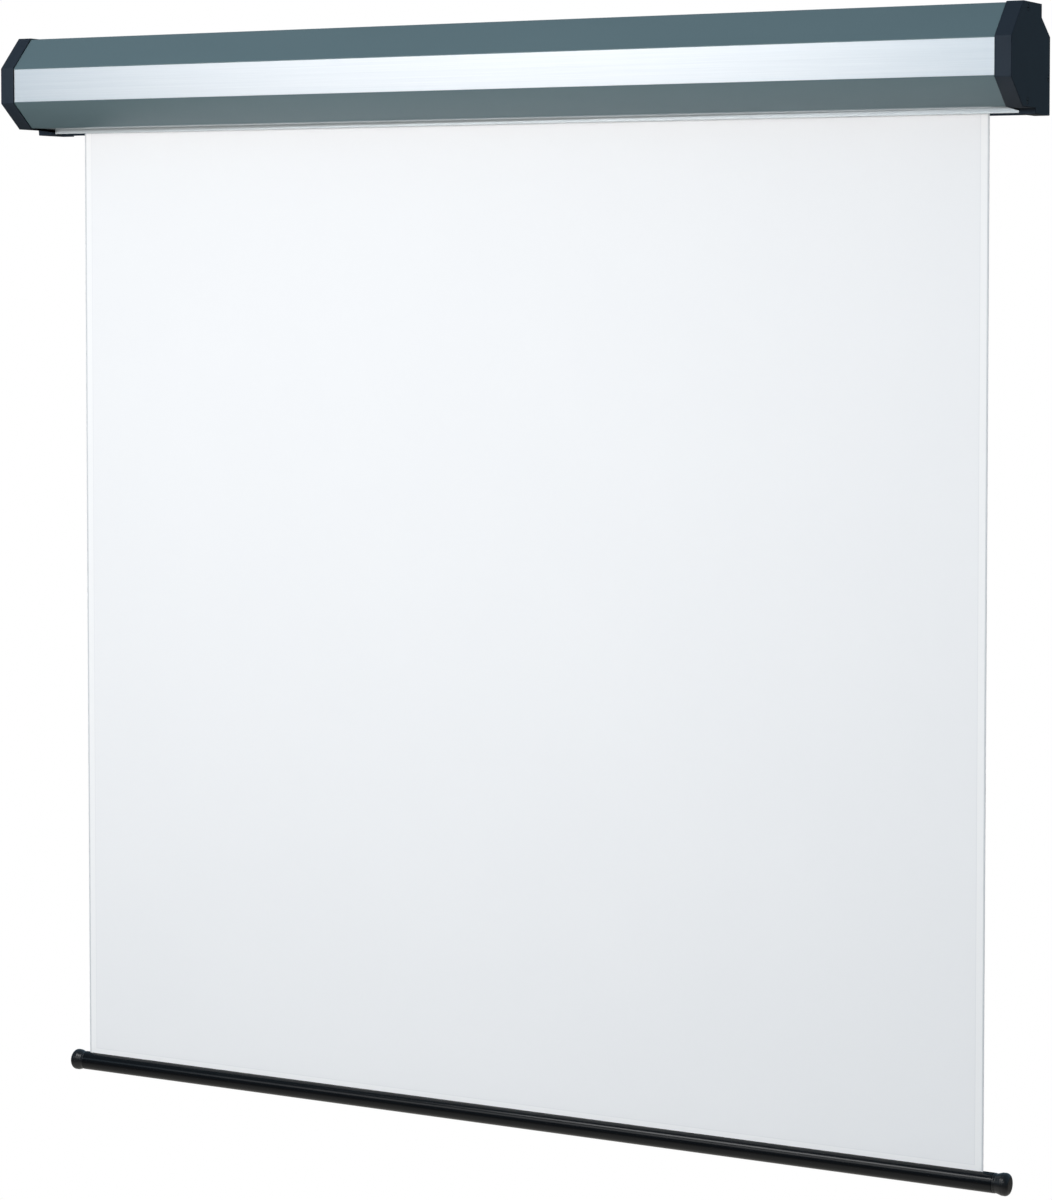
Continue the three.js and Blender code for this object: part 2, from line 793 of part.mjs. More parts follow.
buildCasing();
buildSlot();
for (const [name, side] of sides) {
  buildEndCap(name, side);
  buildWallBracket(name, side);
}
const slot = rectangle(
  at(rollerAxis.x - spearThickness / 2 - seatGap, rollerAxis.y - spearWidth / 2 - seatGap),
  at(rollerAxis.x + spearThickness / 2 + seatGap, rollerAxis.y + spearWidth / 2 + seatGap),
);
buildBearingPlate("left", -1, slot);
buildBearingPlate("right", 1, circle(bushRadius + seatGap, rollerAxis));
buildIdleEnd();
buildSpringEnd();
buildRatchet();
buildRoller();
buildScreen();

export default screen;
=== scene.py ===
# %% [markdown]
# # Dressing a pull-down projector screen
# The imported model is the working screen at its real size: a casing on the wall, a spring roller
# inside it, a white sheet and a round bar. Here each of its pieces gets the surface that a hand
# and an eye would find on it. Nothing of the working model is moved. A piece gets a finer shape
# in the same place, and a finish that holds up close to.

# %% The frame
import json
import math

import bmesh
import bpy
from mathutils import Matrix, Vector


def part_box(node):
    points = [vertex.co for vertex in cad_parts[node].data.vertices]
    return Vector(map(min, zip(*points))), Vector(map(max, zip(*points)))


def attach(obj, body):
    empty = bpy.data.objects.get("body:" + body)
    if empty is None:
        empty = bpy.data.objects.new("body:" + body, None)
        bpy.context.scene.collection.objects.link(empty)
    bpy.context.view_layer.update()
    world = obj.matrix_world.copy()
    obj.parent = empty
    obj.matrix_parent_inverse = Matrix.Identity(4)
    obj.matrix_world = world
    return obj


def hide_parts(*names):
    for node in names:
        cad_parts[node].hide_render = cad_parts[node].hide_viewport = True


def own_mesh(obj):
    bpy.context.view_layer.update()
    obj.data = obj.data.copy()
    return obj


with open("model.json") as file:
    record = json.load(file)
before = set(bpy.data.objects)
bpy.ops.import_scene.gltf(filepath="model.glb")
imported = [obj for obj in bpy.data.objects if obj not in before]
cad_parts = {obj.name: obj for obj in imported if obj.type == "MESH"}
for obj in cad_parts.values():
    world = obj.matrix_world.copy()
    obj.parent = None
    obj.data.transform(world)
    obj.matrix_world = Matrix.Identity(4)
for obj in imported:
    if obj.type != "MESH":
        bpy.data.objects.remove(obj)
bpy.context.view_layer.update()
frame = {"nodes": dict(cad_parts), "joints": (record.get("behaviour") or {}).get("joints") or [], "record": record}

mm = 0.001
full_turn = 2 * math.pi
quarter_turn = math.pi / 2
record = frame["record"]
slot_of = {row["node"]: row["material_slot"] for row in record["subparts"]}
body_of = {node: body for body, nodes in record["behaviour"]["bodies"].items() for node in nodes}
scene = bpy.context.scene


def placed(name, data):
    """Puts an object into the scene."""
    thing = bpy.data.objects.new(name, data)
    scene.collection.objects.link(thing)
    return thing


# %% [markdown]
# ## The view
# The screen was photographed from its right, level with the sheet's upper part, through a long
# lens. Its upright edges stay nearly upright in the picture, which is what a shifted lens does,
# so the camera looks down by under three degrees and the rest of the framing is shift.

# %% The camera
camera_place = (1.9133, -3.6268, -0.2333)
camera_down = math.radians(2.504)
camera_turn = math.radians(27.675)
lens_length = 99.33
lens_shift = -0.16

camera_data = bpy.data.cameras.new("studio_camera")
camera_data.lens = lens_length
camera_data.shift_y = lens_shift
camera = placed("studio_camera", camera_data)
camera.location = camera_place
camera.rotation_euler = (quarter_turn - camera_down, 0, camera_turn)
scene.camera = camera
print(f"the camera stands {Vector(camera_place).length:.2f} m from the casing's middle")


# %% [markdown]
# ## Sums on sockets
# A shader is easier to read as a formula than as a list of nodes. The class below wraps one
# output of a node, so that adding or multiplying two of them adds the Math node for it. All
# other nodes come from one method, which takes the kind of node, its inputs and its settings.
# Geometry trees have the same Math nodes, so they share both classes.

# %% Ports
def feed(tree, socket, value):
    """Links one port or several to a socket, or sets the socket to a plain value."""
    if isinstance(value, Port):
        tree.links.new(value.socket, socket)
    elif isinstance(value, list):
        for port in value:
            tree.links.new(port.socket, socket)
    else:
        socket.default_value = value


class Port:
    """One output of a node, with arithmetic that adds Math nodes to its tree."""

    def __init__(self, tree, socket):
        self.tree = tree
        self.socket = socket

    def math(self, operation, *values):
        node = self.tree.nodes.new("ShaderNodeMath")
        node.operation = operation
        for place, value in enumerate(values):
            feed(self.tree, node.inputs[place], value)
        return Port(self.tree, node.outputs[0])

    def __add__(self, other):
        return self.math("ADD", self, other)

    def __radd__(self, other):
        return self.math("ADD", other, self)

    def __sub__(self, other):
        return self.math("SUBTRACT", self, other)

    def __rsub__(self, other):
        return self.math("SUBTRACT", other, self)

    def __mul__(self, other):
        return self.math("MULTIPLY", self, other)

    def __rmul__(self, other):
        return self.math("MULTIPLY", other, self)

    def __truediv__(self, other):
        return self.math("DIVIDE", self, other)

    def __neg__(self):
        return self * -1

    def __abs__(self):
        return self.math("ABSOLUTE", self)

    def root(self):
        return self.math("SQRT", self)

    def at_most(self, limit):
        return self.math("MINIMUM", self, limit)

    def at_least(self, limit):
        return self.math("MAXIMUM", self, limit)

    def clamped(self):
        return self.at_least(0).at_most(1)

    def above(self, edge, blur):
        """0 below an edge and 1 above it, with a ramp as wide as the blur."""
        return ((self - edge) / blur + 0.5).clamped()

    def mixed(self, other, share):
        """A share of this value and the rest of another."""
        return share * self + (1 - share) * other

    def spread(self, low, high):
        """A value that goes from low to high as this one goes from 0 to 1."""
        return low + (high - low) * self


# %% Graphs
class Graph:
    """A node tree that grows one node at a time."""

    def __init__(self, tree):
        self.tree = tree

    def node(self, kind, inputs=None, out=0, **settings):
        """Adds a node, and gives one of its outputs as a port."""
        made = self.tree.nodes.new(kind)
        for name, value in settings.items():
            setattr(made, name, value)
        for key, value in (inputs or {}).items():
            feed(self.tree, made.inputs[key], value)
        return Port(self.tree, made.outputs[out]) if made.outputs else made

    def axis(self, name, place):
        """One coordinate of a place, by its letter."""
        return self.node("ShaderNodeSeparateXYZ", {"Vector": place}, name)


# %% [markdown]
# ## A finish
# Every surface here is a base colour, a roughness and a small relief, each broken up by noise
# at the scale of the real thing: the speckle of powder paint, the hair lines of brushed metal,
# the grain of a mould. The noise reads the object's own coordinates in metres, so the size of its
# blobs is a real one. Its detail is the number of its finer layers.

# %% The finish class
soft_detail = 1.0
plain_detail = 2.0
fine_detail = 3.0
rich_detail = 4.0
unstretched = (1, 1, 1)
# A Mix node has a set of sockets for each kind of value. These are the numbers of its colours.
mix_share, mix_first, mix_second, mix_result = 0, 6, 7, 2


class Finish(Graph):
    """A material made of one principled shader and the noise that breaks it up."""

    def __init__(self, name):
        self.material = bpy.data.materials.new(name)
        self.material.use_nodes = True
        super().__init__(self.material.node_tree)
        self.tree.nodes.clear()
        self.place = self.node("ShaderNodeTexCoord", out="Object")

    def noise(self, size, stretch=unstretched, detail=plain_detail, place=None):
        """Noise from 0 to 1 in blobs of a size in metres, drawn out along each axis by stretch."""
        scale = tuple(1 / (size * way) for way in stretch)
        scaled = self.node("ShaderNodeMapping", {"Vector": place or self.place, "Scale": scale})
        return self.node("ShaderNodeTexNoise", {"Vector": scaled, "Scale": 1.0, "Detail": detail})

    def tint(self, first, second, share):
        """A colour between two, by a share from 0 to 1."""
        ends = [(*end, 1) if isinstance(end, tuple) else end for end in (first, second)]
        inputs = {mix_share: share, mix_first: ends[0], mix_second: ends[1]}
        return self.node("ShaderNodeMix", inputs, mix_result, data_type="RGBA")

    def relief(self, height, depth):
        """Bumps as deep in metres as the height goes from 0 to 1."""
        return self.node("ShaderNodeBump", {"Height": height, "Distance": depth})

    def surface(self, colour, roughness, relief, **constants):
        """Closes the material. A constant is named as its socket, with _ for each space."""
        inputs = {"Base Color": colour, "Roughness": roughness, "Normal": relief}
        inputs.update({name.replace("_", " "): value for name, value in constants.items()})
        shader = self.node("ShaderNodeBsdfPrincipled", inputs)
        self.node("ShaderNodeOutputMaterial", {"Surface": shader})
        return self.material


# %% [markdown]
# ## The finishes of this screen
# The casing is powder coated aluminium, satin, with the slight orange peel of baked paint. The
# plate let into its front is bright aluminium brushed lengthwise. The mouldings at the ends are
# black, with an etched grain. Inside are zinc, oiled spring steel, plain aluminium and nylon.
# The paint has its own tree. The others follow one of two patterns: a fine noise blended with a
# broad one, or spots on an even ground.

# %% Paint
def casing_paint():
    """Satin powder coat, with slow clouds, a fine speckle and a soft orange peel."""
    paint = Finish("casing_paint")
    speckle = paint.noise(size=0.5 * mm)
    cloud = paint.noise(size=90 * mm, stretch=(4, 1, 1))
    peel = paint.noise(size=1.6 * mm, detail=soft_detail)
    dark, pale = (0.098, 0.154, 0.174), (0.130, 0.193, 0.211)
    colour = paint.tint(dark, pale, cloud.mixed(speckle, share=0.6))
    relief = paint.relief(peel.mixed(speckle, share=0.7), depth=0.05 * mm)
    return paint.surface(colour, speckle.spread(low=0.36, high=0.48), relief, Metallic=0.1)


finishes = {"casing_paint": casing_paint()}
print("finishes so far:", list(finishes))


# %% Two patterns
def blended(
    name, colours, fine, broad, depth, roughness, broad_share=0.5, rough_by="fine", **constants
):
    """A finish shaded by two noises. The fine one is its relief too, and the one that rough_by
    names sets its roughness. A noise is a size, if need be with its stretch and detail."""
    finish = Finish(name)
    noises = {"fine": finish.noise(*fine), "broad": finish.noise(*broad)}
    noises["both"] = noises["broad"].mixed(noises["fine"], broad_share)
    colour = finish.tint(*colours, noises["both"])
    relief = finish.relief(noises["fine"], depth)
    return finish.surface(colour, noises[rough_by].spread(*roughness), relief, **constants)


def spotted(name, colours, ground, spots, edge_blur, shares, depth, roughness, **constants):
    """A finish with spots, where one noise is above an edge, on the ground of another. Shares
    are what both add to the colour. Roughness is the least one, and what each adds to it."""
    finish = Finish(name)
    ground, spots = finish.noise(*ground), finish.noise(*spots).above(*edge_blur)
    colour = finish.tint(*colours, shares[0] * ground + shares[1] * spots)
    least, on_ground, on_spots = roughness
    rough = least + on_ground * ground + on_spots * spots
    return finish.surface(colour, rough, finish.relief(ground, depth), **constants)


# %% Bright metal, trim and mouldings
finishes["brushed_silver"] = blended(
    "brushed_silver",
    colours=((0.64, 0.67, 0.705), (0.875, 0.89, 0.905)),
    fine=(0.35 * mm, (260, 1, 1), fine_detail),
    broad=(2.2 * mm, (160, 1, 1)),
    broad_share=0.4,
    depth=0.012 * mm,
    roughness=(0.25, 0.39),
    rough_by="both",
    Metallic=0.85,
)
finishes["light_trim"] = blended(
    "light_trim",
    colours=((0.66, 0.72, 0.75), (0.76, 0.81, 0.84)),
    fine=(0.5 * mm, (120, 1, 1)),
    broad=(60 * mm,),
    depth=0.01 * mm,
    roughness=(0.20, 0.28),
    Metallic=0.3,
)
finishes["black_plastic"] = blended(
    "black_moulding",
    colours=((0.012, 0.019, 0.029), (0.019, 0.028, 0.041)),
    fine=(0.7 * mm, unstretched, fine_detail),
    broad=(25 * mm,),
    depth=0.07 * mm,
    roughness=(0.50, 0.64),
    Specular_IOR_Level=0.24,
)
print("finishes so far:", list(finishes))

# %% Gloss blacks
# The bar has the faint lines of a drawn tube and a few dull specks. The knobs are a little
# duller, and scuffed round their turn.
finishes["bar_black"] = spotted(
    "bar_gloss",
    colours=((0.003, 0.0035, 0.0045), (0.016, 0.016, 0.015)),
    ground=(0.6 * mm, (200, 1, 1)),
    spots=(0.9 * mm, unstretched, rich_detail),
    edge_blur=(0.68, 0.08),
    shares=(0, 1),
    depth=0.01 * mm,
    roughness=(0.15, 0.05, 0.14),
    Specular_IOR_Level=0.3,
)
finishes["knob_black"] = spotted(
    "knob_gloss",
    colours=((0.004, 0.0045, 0.006), (0.020, 0.020, 0.019)),
    ground=(6 * mm,),
    spots=(0.8 * mm, (1, 4, 1), rich_detail),
    edge_blur=(0.66, 0.1),
    shares=(0.3, 0.4),
    depth=0.04 * mm,
    roughness=(0.24, 0.10, 0.14),
)
print("finishes so far:", len(finishes))

# %% Steels inside
# Zinc has the cloudy bloom that the bath leaves. The black steel is worn paler in small spots,
# and the spring's oiled wire is paler and rougher where it is dry.
finishes["zinc_steel"] = blended(
    "zinc_plate",
    colours=((0.42, 0.44, 0.45), (0.66, 0.67, 0.66)),
    fine=(0.4 * mm,),
    broad=(7 * mm, unstretched, rich_detail),
    broad_share=0.6,
    depth=0.02 * mm,
    roughness=(0.26, 0.46),
    rough_by="broad",
    Metallic=0.9,
)
finishes["black_steel"] = spotted(
    "black_steel",
    colours=((0.014, 0.015, 0.017), (0.060, 0.062, 0.066)),
    ground=(0.5 * mm, unstretched, fine_detail),
    spots=(3 * mm,),
    edge_blur=(0.62, 0.2),
    shares=(0.2, 0.6),
    depth=0.02 * mm,
    roughness=(0.34, 0.14, 0),
    Metallic=0.6,
)
finishes["spring_steel"] = blended(
    "spring_steel",
    colours=((0.10, 0.105, 0.12), (0.22, 0.22, 0.23)),
    fine=(0.5 * mm,),
    broad=(12 * mm, unstretched, fine_detail),
    broad_share=0.7,
    depth=0.015 * mm,
    roughness=(0.22, 0.42),
    rough_by="broad",
    Metallic=0.9,
)
print("finishes so far:", len(finishes))

# %% Aluminium and nylon inside
# The roller's aluminium shows the lines of its die. The nylon is undyed and slightly cloudy.
finishes["roller_aluminium"] = blended(
    "mill_aluminium",
    colours=((0.50, 0.51, 0.52), (0.74, 0.75, 0.75)),
    fine=(0.8 * mm, (220, 1, 1)),
    broad=(30 * mm, unstretched, fine_detail),
    broad_share=0.4,
    depth=0.015 * mm,
    roughness=(0.30, 0.46),
    rough_by="broad",
    Metallic=0.9,
)
finishes["nylon"] = blended(
    "natural_nylon",
    colours=((0.62, 0.59, 0.50), (0.76, 0.73, 0.65)),
    fine=(0.6 * mm, unstretched, fine_detail),
    broad=(9 * mm,),
    broad_share=0.6,
    depth=0.03 * mm,
    roughness=(0.40, 0.52),
)
print("finishes so far:", len(finishes))

# %% [markdown]
# ## The sheet's finish
# The sheet is a matt white coating on a fine glass weave. Close to, threads run both ways and
# none is quite even, so the weave is two noises, each drawn out along one thread direction. They
# read the cloth's own UV map, in metres, and so stay on the cloth as it goes up. Down each side
# and along the bottom the cloth is doubled and looks a little whiter, because less light goes
# through it. A pressed line ends each doubled band, and the cut side edges are grey.

# %% The sheet's bands
sheet_low, sheet_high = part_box("screen_fabric")
sheet_half = (sheet_high.x - sheet_low.x) / 2
hem_width = 10.5 * mm
hem_height = 7.8 * mm
hem_blur = 0.4 * mm
pressed_width = 0.9 * mm
cut_width = 2.0 * mm
cut_blur = 0.6 * mm
print(f"the sheet is {2 * sheet_half / mm:.0f} mm wide")


def band_masks(cloth, flat):
    """Three values from 0 to 1: on the doubled bands, on their pressed line, on the cut edges."""
    from_side = sheet_half - abs(cloth.axis("X", flat))
    from_bottom = cloth.axis("Y", flat) - sheet_low.z
    from_hem = (hem_width - from_side).at_least(hem_height - from_bottom)
    doubled = from_hem.above(0, hem_blur)
    pressed = 1 - (abs(from_hem) / pressed_width).at_most(1)
    cut = 1 - from_side.above(cut_width, cut_blur)
    return doubled, pressed, cut


# %% Coated cloth
def coated_cloth():
    """A matt white coating on a weave, with the bands and lines of a screen's sheet."""
    # Two whites of the coating's own tone, mixed at random by a broad cloud and the threads, not by light or
    # shade.
    shaded, lit = (0.846, 0.853, 0.870), (0.878, 0.883, 0.896)
    doubled_white = (0.900, 0.904, 0.912)
    pressed_grey, pressed_share, pressed_fall = (0.70, 0.71, 0.74), 0.4, 2.0
    cut_grey, cut_share = (0.54, 0.56, 0.59), 0.85
    cloth = Finish("coated_cloth")
    flat = cloth.node("ShaderNodeUVMap", uv_map="cloth")
    weft = cloth.noise(size=0.45 * mm, stretch=(9, 1, 1), place=flat)
    warp = cloth.noise(size=0.45 * mm, stretch=(1, 9, 1), place=flat)
    threads = 0.5 * (weft + warp)
    cloud = cloth.noise(size=180 * mm, place=flat)
    doubled, pressed, cut = band_masks(cloth, flat)
    plain = cloth.tint(shaded, lit, cloud.mixed(threads, share=0.5))
    banded = cloth.tint(plain, doubled_white, doubled)
    lined = cloth.tint(banded, pressed_grey, pressed_share * pressed)
    colour = cloth.tint(lined, cut_grey, cut_share * cut)
    relief = cloth.relief(threads - pressed_fall * pressed, depth=0.03 * mm)
    return cloth.surface(colour, weft.spread(low=0.86, high=0.92), relief, Sheen_Weight=0.05)


finishes["screen_fabric"] = coated_cloth()
print("slots of the record without a finish:", sorted(set(slot_of.values()) - set(finishes)))

# %% [markdown]
# ## Rounded edges
# No real edge is perfectly sharp. A folded or moulded edge is rounded by a few tenths of a
# millimetre, and that thin band is what catches the light. For pieces whose shape is already
# right, a merged copy of the working solid is taken and its outward edges are bevelled. Edges
# beside a narrow face get a smaller radius, so that the bevel has room. Weighted normals keep
# the large faces flat to the eye.

# %% Softened copies
weld_distance = 0.002 * mm
room_radii = 4
narrow_share = 0.3
flat_angle = math.radians(0.3)
edge_angle = math.radians(40)
bevel_steps = 3
bevel_profile = 0.5


def roomy_edges(shape, room, shortest):
    """The long outward edges whose two faces are both at least as wide as the room."""
    edges = []
    for edge in shape.edges:
        if edge.calc_length() < shortest or not edge.is_manifold or not edge.is_convex:
            continue
        width = min(face.calc_area() for face in edge.link_faces) / edge.calc_length()
        if edge.calc_face_angle() > edge_angle and width > room:
            edges.append(edge)
    return edges


def softened_shape(node, radius, shortest):
    """A merged copy of a solid with its outward edges rounded, first those with more room."""
    shape = bmesh.new()
    shape.from_mesh(frame["nodes"][node].data)
    bmesh.ops.remove_doubles(shape, verts=shape.verts, dist=weld_distance)
    bmesh.ops.dissolve_limit(shape, angle_limit=flat_angle, verts=shape.verts, edges=shape.edges)
    style = {"segments": bevel_steps, "profile": bevel_profile, "affect": "EDGES"}
    for offset, room in ((radius, room_radii * radius), (narrow_share * radius, 0)):
        edges = roomy_edges(shape, room, shortest)
        bmesh.ops.bevel(shape, geom=edges, offset=offset, **style)
    return shape


# %% From a shape to a dressed piece
shade_angle = math.radians(35)


def shown(name, shape):
    """Turns a shape into an object at the origin, with its faces outward and its curves smooth."""
    bmesh.ops.recalc_face_normals(shape, faces=shape.faces)
    mesh = bpy.data.meshes.new(name)
    shape.to_mesh(mesh)
    shape.free()
    mesh.shade_smooth()
    mesh.set_sharp_from_angle(angle=shade_angle)
    return placed(name, mesh)


def settled(thing):
    """Applies a thing's modifiers, so that it is one plain mesh."""
    shaped = thing.evaluated_get(bpy.context.evaluated_depsgraph_get())
    mesh = bpy.data.meshes.new_from_object(shaped)
    mesh.name = thing.name
    thing.modifiers.clear()
    thing.data = mesh
    return thing


def dressed(thing, *nodes):
    """Lets a piece stand for solids, with the finish and the body that the record gives them."""
    slot = slot_of[nodes[0]]
    thing.data.materials.clear()
    thing.data.materials.append(finishes[slot])
    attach(thing, body_of[nodes[0]])
    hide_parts(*nodes)
    bpy.context.view_layer.update()
    size = " x ".join(f"{value / mm:.1f}" for value in thing.dimensions)
    print(f"{thing.name}: {size} mm, {len(thing.data.polygons)} faces")
    return thing


def softened(name, node, radius, shortest):
    """A dressed copy of a solid, with its longer edges rounded."""
    thing = shown(name, softened_shape(node, radius, shortest))
    evened = thing.modifiers.new("evened", "WEIGHTED_NORMAL")
    evened.keep_sharp = True
    return dressed(settled(thing), node)


# %% [markdown]
# ## The casing
# The casing is one aluminium extrusion, so all its edges run the whole length and were rounded
# by the die. The bright plate is let into the front facet. Below, a pale cover closes the
# underside up to the slot, and a dark lip stands behind the sheet. All four keep the working
# shape and get rounded edges, each with the radius that its process leaves.

# %% Extrusion, plate, cover and lip
run_length = 20 * mm
extruded = {
    "casing_shell": ("casing_extrusion", 0.8 * mm),
    "front_fascia": ("fascia_plate", 0.2 * mm),
    "bottom_cover": ("slot_cover", 0.5 * mm),
    "rear_slot_lip": ("slot_lip", 0.5 * mm),
}
for node, (name, radius) in extruded.items():
    softened(name, node, radius, run_length)

# %% [markdown]
# ## The end caps
# Each cap is a black moulding that laps over the end of the extrusion. Its outer edges have a
# radius of about a millimetre, which is why a thin light line runs round the cap in some views.

# %% Left and right caps
cap_round = 1.0 * mm
cap_shortest = 6 * mm
for side in ("left", "right"):
    softened(f"cap_moulding_{side}", f"end_cap_{side}", cap_round, cap_shortest)

# %% [markdown]
# ## What carries the roller
# Steel brackets hold the casing on the wall, and a steel plate in each cap carries the roller. At
# the spring end a fixed arbor ends in a flat spear, and a ratchet wheel and two pawls hold the
# screen where it is pulled to. These are pressed, turned or stamped, so they have small radii.

# %% Brackets, plates, arbor, ratchet and roller
pressed_radius = 0.3 * mm
pressed_shortest = 0.3 * mm
inner_names = {
    "wall_bracket_left": "hook_bracket_left",
    "wall_bracket_right": "hook_bracket_right",
    "bearing_plate_left": "carrier_plate_left",
    "bearing_plate_right": "carrier_plate_right",
    "idle_bush": "nylon_bush",
    "spring_arbor": "spear_arbor",
    "ratchet_wheel": "catch_wheel",
    "arbor_collar": "spring_collar",
    "roller_tube": "drawn_roller",
    "roller_ferrule": "drive_ferrule",
    "arbor_steady": "steady_disc",
    "roller_plug": "idle_plug",
    "idle_pin": "bearing_pin",
    "pawl_1": "upper_catch",
    "pawl_2": "lower_catch",
    "pawl_pin_1": "upper_catch_pin",
    "pawl_pin_2": "lower_catch_pin",
}
for node, name in inner_names.items():
    softened(name, node, pressed_radius, pressed_shortest)


# %% [markdown]
# ## Screws
# The caps, the lip and the bearing plates are held by the same kind of screw in three lengths.
# One geometry tree makes it: a domed head, which is a line swept by a circle whose scale follows
# a quarter ellipse, a crossed recess cut from it, a core and a spiral thread. The tree sets one
# on each point that it is given, with its axis along the point's own direction. Its sizes are
# inputs of the modifier, so the three lengths share one tree.

# %% The geometry tree's class
class Recipe(Graph):
    """A geometry node tree with named inputs for its sizes."""

    def __init__(self, name, sizes):
        super().__init__(bpy.data.node_groups.new(name, "GeometryNodeTree"))
        self.face = self.tree.interface
        kinds = {"Geometry": "Geometry", **dict.fromkeys(sizes, "Float"), "Material": "Material"}
        for label, kind in kinds.items():
            self.face.new_socket(label, in_out="INPUT", socket_type=f"NodeSocket{kind}")
        self.face.new_socket("Geometry", in_out="OUTPUT", socket_type="NodeSocketGeometry")
        self.source = self.tree.nodes.new("NodeGroupInput")

    def given(self, label):
        """One of the tree's own inputs."""
        return Port(self.tree, self.source.outputs[label])

    def vector(self, x=0.0, y=0.0, z=0.0):
        """A place from its coordinates."""
        return self.node("ShaderNodeCombineXYZ", {"X": x, "Y": y, "Z": z})

    def moved(self, geometry, place, turn=(0.0, 0.0, 0.0)):
        """Geometry turned, and then moved."""
        inputs = {"Geometry": geometry, "Translation": place, "Rotation": turn}
        return self.node("GeometryNodeTransform", inputs)

    def swept(self, curve, sides, radius):
        """A tube along a curve, closed at both ends. Its radius may be a formula."""
        inputs = {"Resolution": sides, "Radius": 1.0}
        section = self.node("GeometryNodeCurvePrimitiveCircle", inputs)
        inputs = {"Curve": curve, "Profile Curve": section, "Scale": radius, "Fill Caps": True}
        return self.node("GeometryNodeCurveToMesh", inputs)

    def turned(self, start, end, rings, radius, sides):
        """A solid about the Z axis, whose radius is a formula of the share of the way along it."""
        inputs = {"Start": self.vector(z=start), "End": self.vector(z=end)}
        line = self.node("GeometryNodeCurvePrimitiveLine", inputs)
        points = self.node("GeometryNodeResampleCurve", {"Curve": line, "Count": rings})
        share = self.node("GeometryNodeSplineParameter", out="Factor")
        return self.swept(points, sides, radius(share))

    def spiral(self, steps, turns, radius, height):
        """A spiral about the Z axis, with its section kept upright."""
        inputs = {"Resolution": steps, "Rotations": turns, "Height": height}
        inputs.update({"Start Radius": radius, "End Radius": radius})
        curve = self.node("GeometryNodeCurveSpiral", inputs)
        return self.node("GeometryNodeSetCurveNormal", {"Curve": curve}, mode="Z_UP")

    def finished(self, geometry):
        """Ends the tree, with real geometry in the material that it is given."""
        real = self.node("GeometryNodeRealizeInstances", {"Geometry": geometry})
        inputs = {"Geometry": real, "Material": self.given("Material")}
        painted = self.node("GeometryNodeSetMaterial", inputs)
        self.node("NodeGroupOutput", {"Geometry": painted})
        return self

    def cooked(self, name, mesh, sizes, nodes):
        """Runs the tree on a mesh, and gives the result as one plain piece for the nodes."""
        thing = placed(name, mesh)
        grown = thing.modifiers.new("grown", "NODES")
        grown.node_group = self.tree
        values = {**sizes, "Material": finishes[slot_of[nodes[0]]]}
        for item in self.face.items_tree:
            if item.in_out == "INPUT" and item.name in values:
                grown[item.identifier] = values[item.name]
        return settled(thing)


# %% The screw's shares and counts
head_sides = 28
head_rings = 9
core_sides = 12
thread_sides = 3
thread_steps = 14
dome_share = 0.45
rim_share = 0.70
tip_share = 0.08
tip_radius_share = 0.4
thread_share = 0.2
recess_shares = (1.25, 0.30)
recess_depth_share = 0.75
print("sides of a screw's head:", head_sides)


# %% The screw's tree
def cross_recess(screw, head):
    """A head with a cross cut into it by two bars, let in from above by a share of its height."""
    radius, height = screw.given("Head radius"), screw.given("Head height")
    cutters = []
    for across, along in (recess_shares, recess_shares[::-1]):
        size = screw.vector(radius * across, radius * along, height)
        bar = screw.node("GeometryNodeMeshCube", {"Size": size})
        cutters.append(screw.moved(bar, screw.vector(z=height * (0.5 - recess_depth_share))))
    inputs = {"Mesh 1": head, "Mesh 2": cutters}
    return screw.node("GeometryNodeMeshBoolean", inputs, operation="DIFFERENCE", solver="EXACT")


def screw_recipe():
    """The tree of one kind of screw, with its head's top at each point and its tip inward."""
    labels = ("Head radius", "Head height", "Grip", "Shank radius", "Pitch")
    screw = Recipe("screw", labels)
    radius, height, grip, shank, pitch = map(screw.given, labels)
    depth = thread_share * shank
    core_radius = shank - depth

    def dome(share):
        inward = 1 - (share / dome_share).at_most(1)
        return radius * (1 - inward * inward).root().spread(rim_share, 1)

    def tapered(share):
        near_tip = ((1 - share) / tip_share).at_most(1)
        return core_radius * near_tip.spread(tip_radius_share, 1)

    head = cross_recess(screw, screw.turned(0.0, -height, head_rings, dome, head_sides))
    core = screw.turned(-height, -height - grip, head_rings, tapered, core_sides)
    threaded = grip * (1 - 2 * tip_share)
    path = screw.spiral(thread_steps, threaded / pitch, core_radius, threaded)
    ridge = screw.swept(path, thread_sides, depth)
    thread = screw.moved(ridge, screw.vector(z=-height - grip * (1 - tip_share)))
    whole = screw.node("GeometryNodeJoinGeometry", {"Geometry": [head, core, thread]})
    inputs = {"Name": "outward"}
    outward = screw.node("GeometryNodeInputNamedAttribute", inputs, data_type="FLOAT_VECTOR")
    facing = screw.node("FunctionNodeAlignRotationToVector", {"Vector": outward}, axis="Z")
    inputs = {"Points": screw.given("Geometry"), "Instance": whole, "Rotation": facing}
    return screw.finished(screw.node("GeometryNodeInstanceOnPoints", inputs))


screw = screw_recipe()
print("the screw's tree has", len(screw.tree.nodes), "nodes")

# %% Three sets of screws
screw_sizes = {
    "Head radius": 3.8 * mm,
    "Head height": 2.0 * mm,
    "Shank radius": 1.85 * mm,
    "Pitch": 1.4 * mm,
}


def screw_set(name, start, outward):
    """One screw for each node whose name starts so, with its head at the end facing outward."""
    nodes = [node for node in slot_of if node.startswith(start)]
    places = []
    for node in nodes:
        low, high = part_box(node)
        reach = abs((high - low).dot(outward(node)))
        places.append((low + high) / 2 + outward(node) * reach / 2)
    mesh = bpy.data.meshes.new(name)
    mesh.from_pydata(places, [], [])
    directions = mesh.attributes.new("outward", "FLOAT_VECTOR", "POINT")
    for item, node in zip(directions.data, nodes):
        item.vector = outward(node)
    sizes = {**screw_sizes, "Grip": reach - screw_sizes["Head height"]}
    dressed(screw.cooked(name, mesh, sizes, nodes), *nodes)


